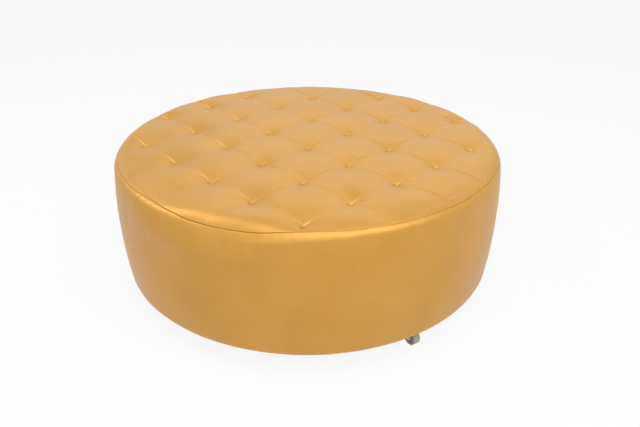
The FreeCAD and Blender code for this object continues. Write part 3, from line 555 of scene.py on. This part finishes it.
def side_section(azimuth):
    """The side's closed section at an azimuth: points and their outward directions."""
    facing = Vector((math.sin(azimuth), -math.cos(azimuth), 0))
    radius, _, middle_up, _ = shoulder(azimuth)
    start = seam_turn(azimuth) + (seam_roll(azimuth) + SEAM_GAP) / radius
    arc_up = middle_up + radius * math.sin(LEAN)
    section = [(rolled(azimuth, 1, math.radians(angle)), None) for angle in (90, 68, 45, 22)]
    section[0:0] = [(on_shoulder(azimuth, seam_turn(azimuth) + 0.03, 0.0052), None)]
    for k in range(9):
        turn = start + (math.pi / 2 - LEAN - start) * k / 8
        direction = facing * math.sin(turn) + Vector((0, 0, math.cos(turn)))
        section.append((on_shoulder(azimuth, turn, SEAM_DEPTH * (1 - smooth(k / 4))), direction))
    for k in range(1, 26):
        up = arc_up + (RIM_LOW - arc_up) * k / 26
        section.append((under(azimuth, bulge(up), up), facing))
    for k in range(8):
        turn = math.pi / 2 * k / 7
        direction = facing * math.cos(turn) - Vector((0, 0, math.sin(turn)))
        centre = under(azimuth, CORNER_OUT, RIM_LOW)
        section.append((centre + direction * CORNER, direction))
    section += [(under(azimuth, out, FLANGE_LOW), None) for out in (0.56, 0.545, FLANGE_IN)]
    inner = [(FLANGE_IN, FLANGE_TOP), (BASE_IN, FLANGE_TOP), (BASE_OUT, BASE_UP),
             (BOARD_OUT, BOARD_LOW), (BOARD_OUT, BOARD_TOP),
             (bulge(BOARD_TOP) - VINYL, BOARD_TOP), (bulge(LIP_LOW) - VINYL, LIP_LOW)]
    section += [(under(azimuth, out, up), None) for out, up in inner]
    lip = math.pi / 2 - (math.pi / 2 - seam_turn(azimuth) - 0.13) * 0.5
    section.append((on_shoulder(azimuth, lip, VINYL), None))
    section.append((on_shoulder(azimuth, seam_turn(azimuth) + 0.13, VINYL + 0.001), None))
    return section


def ripple(azimuth, point, down):
    """How far the side stands off its smooth shape, down metres below the seam."""
    pull = smooth(down / 0.03) * (1 - smooth((down - 0.08) / 0.14))
    pull *= 1 - 0.6 * smooth((abs(math.degrees(azimuth) + 5) - 45) / 20)
    upright = noise.noise(Vector((point.x / 0.016, point.y / 0.016, point.z / 0.2)))
    wide = noise.noise(Vector((point.x / 0.045, point.y / 0.045, point.z / 0.3 + 9)))
    # Puckers under the seam, larger beside the upright seam at the front left
    near_seam = math.exp(-((math.degrees(azimuth) + 38) / 8) ** 2)
    pucker = (0.0004 + 0.0012 * near_seam) * math.exp(-(down / 0.022) ** 2)
    gather = noise.noise(Vector((point.x / 0.012, point.y / 0.012, 5.0)))
    hem = 0.0004 * smooth((down - 0.33) / 0.05)
    broad = noise.noise(point / 0.13)
    # The foam swells out under the seam at the front left
    swelling = math.exp(-((math.degrees(azimuth) + 30) / 20) ** 2)
    off = (0.0008 * pull + 0.0002) * upright + (0.0008 * pull + 0.0003) * wide
    off += (pucker + hem) * gather + 0.0006 * broad
    off += 0.012 * swelling * math.exp(-((down - 0.072) / 0.043) ** 2)
    for where, height, length, rise in WRINKLES:
        side = (azimuth - math.radians(where)) * SIDE_OUT
        off += rise * math.exp(-(side / 0.0022) ** 2 - ((point.z - height) / length) ** 2)
    return off


band = bmesh.new()
# Painted shade for the base colour, carried on each vertex
painted_shade_mark = band.verts.layers.float.new("crease")
rows = []
for azimuth in columns:
    made = []
    last, down = None, 0.0
    for place, (point, direction) in enumerate(side_section(azimuth)):
        # Painted shade: the base colour is darkened where the side rolls into the seam, more where
        # it gapes, and in the grooves of the upright seams.
        crease = 0.05 + 0.3 * seam_open(azimuth) if place < 4 else 0.0
        if last is not None:
            down += (point - last).length
        last = point
        if direction is not None:
            off = min(abs(azimuth - seam) for seam in UPRIGHT_SEAMS) * SIDE_OUT
            groove = math.exp(-(off / 0.0011) ** 2)
            notch = 1.0 + 4.0 * (1 - smooth((down - 0.012) / 0.02))
            ease = smooth(down / 0.012)
            point = point + direction * (ripple(azimuth, point, down) * ease
                                         - 0.0003 * groove * notch)
            crease = max(crease, 0.08 * groove * notch)
        vert = band.verts.new(point)
        vert[painted_shade_mark] = crease
        made.append(vert)
    rows.append(made)
for near, far in zip(rows, rows[1:] + rows[:1]):
    for k in range(len(near)):
        n = (k + 1) % len(near)
        band.faces.new((near[k], near[n], far[n], far[k]))
bmesh.ops.recalc_face_normals(band, faces=band.faces)
side_mesh = bpy.data.meshes.new("side_band")
band.to_mesh(side_mesh)
band.free()
side = add_piece("side_band", side_mesh, gold_vinyl, replaces=("side_cover", "side_foam"))

# Dust cloth: black spunbond polypropylene, cut round and stapled under the base over the raw
# edge of the vinyl. Its bonded filaments give a faint random mottle.
DUST_RADIUS = 0.566
dust_low, dust_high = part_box("dust_cover")
bpy.ops.object.select_all(action="DESELECT")
bpy.ops.mesh.primitive_circle_add(vertices=180, radius=DUST_RADIUS, fill_type="NGON",
                                  location=(0, 0, (dust_low.z + dust_high.z) / 2))
dust_sheet = bpy.context.object
bpy.ops.object.mode_set(mode="EDIT")
bpy.ops.mesh.select_all(action="SELECT")
for width in (0.006, 0.02, 0.05, 0.09, 0.12, 0.13):
    bpy.ops.mesh.inset(thickness=width)
bpy.ops.object.mode_set(mode="OBJECT")
bpy.ops.object.transform_apply(location=True, rotation=False, scale=False)
for vert in dust_sheet.data.vertices:
    spread = vert.co.xy.length
    vert.co.z += 0.0003 * noise.noise(Vector((vert.co.x * 30, vert.co.y * 30, 0)))
    if spread < 0.5:
        vert.co.z += 0.0004
thick = dust_sheet.modifiers.new("thickness", "SOLIDIFY")
thick.thickness = 0.0005
thick.offset = 0
bpy.ops.object.modifier_apply(modifier="thickness")
dust_mesh = dust_sheet.data.copy()
bpy.data.objects.remove(dust_sheet)

spunbond = start_material("spunbond_polypropylene_black", {"Roughness": 0.85,
                                                           "Sheen Weight": 0.15})
filaments = add_node(spunbond, "ShaderNodeTexNoise", {"Scale": 1, "Detail": 5, "Distortion": 2},
                     {"Vector": object_place(spunbond, (350, 350, 350))})
add_node(spunbond, "ShaderNodeValToRGB",
         {"ramp": [(0.35, linear("#17171A")), (0.7, linear("#2C2C30"))]}, {"Fac": filaments},
         feeds="Base Color")
add_node(spunbond, "ShaderNodeBump", {"Strength": 0.4, "Distance": 0.0003},
         {"Height": filaments}, feeds="Normal")
dust = add_piece("dust_cloth", dust_mesh, spunbond, replaces=("dust_cover",))

# Staples: flat wire, pressed and zinc-plated, shot through the dust cloth 10 mm from its edge.
# One is modelled lying on its back and copied round. The plating on them and on the castors
# gives a soft grey shine with a faint spangle.
STAPLES = 88
STAPLE_RING = 0.556
STAPLE_SIZE = (0.0112, 0.0013, 0.0008)
STAPLE_LEG = 0.006
WIRE = 0.0011
bpy.ops.object.select_all(action="DESELECT")
bpy.ops.mesh.primitive_cube_add(size=1, location=(0, 0, 0))
staple = bpy.context.object
staple.scale = STAPLE_SIZE
bpy.ops.object.transform_apply(location=False, rotation=False, scale=True)
bpy.ops.object.mode_set(mode="EDIT")
bpy.ops.mesh.select_all(action="DESELECT")
shape = bmesh.from_edit_mesh(staple.data)
bend = STAPLE_SIZE[0] / 2 - WIRE
for place in (-bend, bend):
    bmesh.ops.bisect_plane(shape, geom=shape.verts[:] + shape.edges[:] + shape.faces[:],
                           plane_co=(place, 0, 0), plane_no=(1, 0, 0))
for face in shape.faces:
    face.select = face.normal.z > 0.9 and abs(face.calc_center_median().x) > bend
bmesh.update_edit_mesh(staple.data)
bpy.ops.mesh.extrude_region_move(TRANSFORM_OT_translate={"value": (0, 0, STAPLE_LEG)})
bpy.ops.object.mode_set(mode="OBJECT")
rounding = staple.modifiers.new("edges", "BEVEL")
rounding.width = 0.0003
rounding.segments = 2
rounding.limit_method = "ANGLE"
bpy.ops.object.modifier_apply(modifier="edges")
staple_mesh = staple.data.copy()
bpy.data.objects.remove(staple)

row = bmesh.new()
for k in range(STAPLES):
    turned = Matrix.Rotation(2 * math.pi * (k + 0.5) / STAPLES, 4, "Z")
    lean = Matrix.Rotation(0.5 * noise.noise(Vector((k * 1.7, 0, 0))), 4, "Z")
    spot = Matrix.Translation((0, -STAPLE_RING, dust_low.z - 0.0002))
    copied = staple_mesh.copy()
    copied.transform(turned @ spot @ lean)
    row.from_mesh(copied)
staples_mesh = bpy.data.meshes.new("dust_cloth_staples")
row.to_mesh(staples_mesh)
row.free()

zinc = start_material("steel_pressed_zinc_plated", {"Metallic": 1.0, "Roughness": 0.34})
spangle = add_node(zinc, "ShaderNodeTexNoise", {"Scale": 1, "Detail": 4},
                   {"Vector": object_place(zinc, (160, 160, 160))})
add_node(zinc, "ShaderNodeValToRGB",
         {"ramp": [(0.3, linear("#9C9D9A")), (0.7, linear("#BEBFBC"))]}, {"Fac": spangle},
         feeds="Base Color")
add_node(zinc, "ShaderNodeMapRange", {"To Min": 0.26, "To Max": 0.46}, {"Value": spangle},
         feeds="Roughness")
brushed = add_node(zinc, "ShaderNodeTexNoise", {"Scale": 1, "Detail": 3},
                   {"Vector": object_place(zinc, (900, 900, 120))})
add_node(zinc, "ShaderNodeBump", {"Strength": 0.08, "Distance": 0.0002}, {"Height": brushed},
         feeds="Normal")
staples = add_piece("dust_cloth_staples", staples_mesh, zinc)
staples.data.shade_flat()

# Castor steel: plates, ball races and forks pressed from zinc-plated sheet, kingpins riveted in,
# screws and axle bolts. They are the exact solids with their edges broken, as pressing and
# plating leave them.
def broken_edges(node, name, width, body):
    """A copy of a CAD node with its edges rounded, which stands for it."""
    shape = bmesh.new()
    shape.from_mesh(frame["nodes"][node].data)
    bmesh.ops.remove_doubles(shape, verts=shape.verts, dist=1e-6)
    bmesh.ops.dissolve_limit(shape, angle_limit=math.radians(1), verts=shape.verts,
                             edges=shape.edges)
    mesh = bpy.data.meshes.new(name)
    shape.to_mesh(mesh)
    shape.free()
    piece = add_piece(name, mesh, zinc, body, replaces=(node,))
    rounding = piece.modifiers.new("edges", "BEVEL")
    rounding.width = width
    rounding.segments = 2
    rounding.limit_method = "ANGLE"
    rounding.angle_limit = math.radians(35)
    bpy.context.view_layer.objects.active = piece
    bpy.ops.object.select_all(action="DESELECT")
    piece.select_set(True)
    bpy.ops.object.modifier_apply(modifier="edges")
    bpy.ops.object.shade_smooth_by_angle(angle=math.radians(35))
    return piece


for node, name, width in (("castor_plates", "castor_mounting_plates", 0.0004),
                          ("swivel_races", "castor_ball_races", 0.0012),
                          ("kingpins", "castor_kingpins", 0.0006),
                          ("castor_screws", "castor_plate_screws", 0.0005)):
    broken_edges(node, name, width, "root")
for number in range(1, 5):
    broken_edges("fork_%d" % number, "castor_fork_%d" % number, 0.0005, "castor_%d" % number)
    broken_edges("axle_%d" % number, "castor_axle_bolt_%d" % number, 0.0005,
                 "castor_%d" % number)

# Wheels: a hard grey nylon centre with a recessed face, and a soft grey rubber tyre moulded on
# it, dull and scuffed. Each is modelled once, round the Y axis, and copied to the four axles.
TYRE_RADIUS, TYRE_WIDTH, TYRE_ROUNDING = 0.025, 0.02, 0.0057
CORE_RADIUS, CORE_WIDTH = 0.019, 0.019


def select_faces(mesh, wanted):
    """Select the faces of the mesh in edit mode that a test picks."""
    shape = bmesh.from_edit_mesh(mesh)
    for face in shape.faces:
        face.select = False
    for line in shape.edges:
        line.select = False
    for face in shape.faces:
        if wanted(face):
            face.select = True
    bmesh.update_edit_mesh(mesh)


def end_face(face):
    """Whether a face lies square across the axle, at the middle of an end."""
    return abs(face.normal.y) > 0.9 and face.calc_center_median().xz.length < 0.002


bpy.ops.object.select_all(action="DESELECT")
bpy.ops.mesh.primitive_cylinder_add(vertices=72, radius=TYRE_RADIUS, depth=TYRE_WIDTH,
                                    rotation=(math.pi / 2, 0, 0))
tyre = bpy.context.object
bpy.ops.object.transform_apply(location=False, rotation=True, scale=False)
bpy.ops.object.mode_set(mode="EDIT")
select_faces(tyre.data, end_face)
bpy.ops.mesh.inset(thickness=TYRE_RADIUS - CORE_RADIUS, use_individual=True)
bpy.ops.mesh.bridge_edge_loops()
shape = bmesh.from_edit_mesh(tyre.data)
for line in shape.edges:
    ends = [vert.co.xz.length for vert in line.verts]
    line.select = min(ends) > TYRE_RADIUS - 1e-4 and abs(line.verts[0].co.y
                                                         - line.verts[1].co.y) < 1e-5
bmesh.update_edit_mesh(tyre.data)
bpy.ops.mesh.bevel(offset=TYRE_ROUNDING, segments=7, profile=0.5, affect="EDGES")
bpy.ops.mesh.select_all(action="SELECT")
bpy.ops.mesh.remove_doubles(threshold=1e-6)
bpy.ops.mesh.normals_make_consistent(inside=False)
bpy.ops.object.mode_set(mode="OBJECT")
tyre_mesh = tyre.data.copy()
bpy.data.objects.remove(tyre)

bpy.ops.mesh.primitive_cylinder_add(vertices=72, radius=CORE_RADIUS, depth=CORE_WIDTH,
                                    rotation=(math.pi / 2, 0, 0))
core = bpy.context.object
bpy.ops.object.transform_apply(location=False, rotation=True, scale=False)
bpy.ops.object.mode_set(mode="EDIT")
# Each step goes in by a width and then along the axle: rim, recess, hub and the mouth of the
# bore, which keeps a radius of 4.1 mm
for inward, along in ((0.002, -0.0028), (0.0015, -0.0004), (0.007, 0.0),
                      (0.0005, 0.0045), (0.0006, 0.0), (0.0033, 0.0)):
    select_faces(core.data, end_face)
    bpy.ops.mesh.inset(thickness=inward, use_individual=True)
    if along:
        bpy.ops.mesh.extrude_region_shrink_fatten(
            TRANSFORM_OT_shrink_fatten={"value": along})
select_faces(core.data, end_face)
bpy.ops.mesh.bridge_edge_loops()
bpy.ops.mesh.select_all(action="SELECT")
bpy.ops.mesh.normals_make_consistent(inside=False)
bpy.ops.object.mode_set(mode="OBJECT")
core_mesh = core.data.copy()
bpy.data.objects.remove(core)

rubber = start_material("rubber_thermoplastic_grey", {"Roughness": 0.62, "IOR": 1.5})
scuffs = add_node(rubber, "ShaderNodeTexNoise", {"Scale": 1, "Detail": 6},
                  {"Vector": object_place(rubber, (260, 260, 260))})
add_node(rubber, "ShaderNodeValToRGB",
         {"ramp": [(0.3, linear("#9A9485")), (0.7, linear("#B4AE9E"))]}, {"Fac": scuffs},
         feeds="Base Color")
add_node(rubber, "ShaderNodeBump", {"Strength": 0.3, "Distance": 0.0003}, {"Height": scuffs},
         feeds="Normal")
grey_nylon = start_material("nylon_moulded_grey", {"Roughness": 0.55, "IOR": 1.53})
flow = add_node(grey_nylon, "ShaderNodeTexNoise", {"Scale": 1, "Detail": 3},
                {"Vector": object_place(grey_nylon, (140, 140, 140))})
add_node(grey_nylon, "ShaderNodeValToRGB",
         {"ramp": [(0.3, linear("#8F8C83")), (0.7, linear("#A5A299"))]}, {"Fac": flow},
         feeds="Base Color")
add_node(grey_nylon, "ShaderNodeBump", {"Strength": 0.15, "Distance": 0.0002},
         {"Height": flow}, feeds="Normal")

for joint in frame["joints"]:
    if not joint["child"].startswith("wheel"):
        continue
    number = joint["child"].split("_")[1]
    axle = Vector(joint["axis"])
    settle = (Matrix.Translation(Vector(joint["pos_m"]))
              @ Matrix.Rotation(math.atan2(-axle.x, axle.y), 4, "Z"))
    for model, name, node, material, finish in (
            (tyre_mesh, "castor_tyre_", "tyre_", rubber, "tyre_rubber"),
            (core_mesh, "castor_wheel_centre_", "wheel_core_", grey_nylon, "core_plastic")):
        mesh = model.copy()
        mesh.transform(settle)
        wheel = add_piece(name + number, mesh, material, joint["child"],
                          replaces=(node + number,))
        bpy.context.view_layer.objects.active = wheel
        bpy.ops.object.select_all(action="DESELECT")
        wheel.select_set(True)
        bpy.ops.object.shade_smooth_by_angle(angle=math.radians(38))

# Floor and studio: a pale floor, white behind, one broad soft lamp overhead in front, a weak
# one low in front, one behind for the seat, and a small one at the left for the pleats. The
# floor and what is behind are white to the eye and in reflections, and light the part less.
def seen_rays(owner):
    """One for rays from the camera, a reflection or clear material, and zero for the others."""
    path = add_node(owner, "ShaderNodeLightPath", {}).node.outputs
    seen = add_node(owner, "ShaderNodeMath", {"operation": "MAXIMUM"},
                    {0: path["Is Camera Ray"], 1: path["Is Glossy Ray"]})
    return add_node(owner, "ShaderNodeMath", {"operation": "MAXIMUM"},
                    {0: seen, 1: path["Is Transmission Ray"]})


bpy.ops.object.select_all(action="DESELECT")
bpy.ops.mesh.primitive_plane_add(size=30, location=(0, 0, 0))
floor = bpy.context.object
floor.name = "studio_floor"
pale = start_material("studio_floor_pale", {"Base Color": linear("#F2F2F2"), "Roughness": 0.9,
                                            "Specular IOR Level": 0.1})
share = add_node(pale, "ShaderNodeMath", {"operation": "MULTIPLY", 1: 0.9},
                 {0: seen_rays(pale)})
white = add_node(pale, "ShaderNodeEmission", {"Color": linear("#FFFFFF"), "Strength": 1.0})
shader = pale.node_tree.nodes["Principled BSDF"]
both = add_node(pale, "ShaderNodeMixShader", {},
                {0: share, 1: shader.outputs["BSDF"], 2: white})
pale.node_tree.links.new(both, pale.node_tree.nodes["Material Output"].inputs["Surface"])
floor.data.materials.append(pale)

world = bpy.data.worlds.new("studio")
bpy.context.scene.world = world
world.use_nodes = True
level = add_node(world, "ShaderNodeMapRange", {"To Min": 0.27, "To Max": 1.0},
                 {"Value": seen_rays(world)})
sky = world.node_tree.nodes["Background"]
sky.inputs["Color"].default_value = linear("#FFFFFF")
world.node_tree.links.new(level, sky.inputs["Strength"])

LAMP_AIM = Vector((0, 0, 0.3))
for name, place, size, power in (("key_lamp", (0.9, -1.9, 3.2), (4.0, 3.6), 116),
                                 ("front_lamp", (-0.2, -3.6, 1.2), (3.6, 1.2), 15),
                                 ("back_lamp", (0.4, 2.9, 2.3), (3.0, 1.6), 9),
                                 ("left_lamp", (-2.5, 0.5, 2.9), (1.6, 1.6), 30)):
    lamp = bpy.data.lights.new(name, "AREA")
    lamp.shape = "RECTANGLE"
    lamp.size, lamp.size_y = size
    lamp.energy = power
    lit = bpy.data.objects.new(name, lamp)
    bpy.context.scene.collection.objects.link(lit)
    lit.location = place
    lit.rotation_euler = (LAMP_AIM - Vector(place)).to_track_quat("-Z", "Y").to_euler()

# Camera: at the photograph's place, about 1.1 m up and 1.8 m in front of the middle, looking
# down 28 degrees. It is turned to the left by PAN and rolled by ROLL, both in radians.
CAMERA_PLACE = (0.0776, -1.7632, 1.1266)
PAN, TILT, ROLL = 0.0225, math.radians(61.72), 0.0042
lens = bpy.data.cameras.new("camera")
lens.lens = 32.8
lens.sensor_width = 36
camera = bpy.data.objects.new("camera", lens)
bpy.context.scene.collection.objects.link(camera)
camera.matrix_world = (Matrix.Translation(CAMERA_PLACE) @ Matrix.Rotation(PAN, 4, "Z")
                       @ Matrix.Rotation(TILT, 4, "X") @ Matrix.Rotation(ROLL, 4, "Z"))
bpy.context.scene.camera = camera
bpy.context.scene.view_settings.view_transform = "Standard"
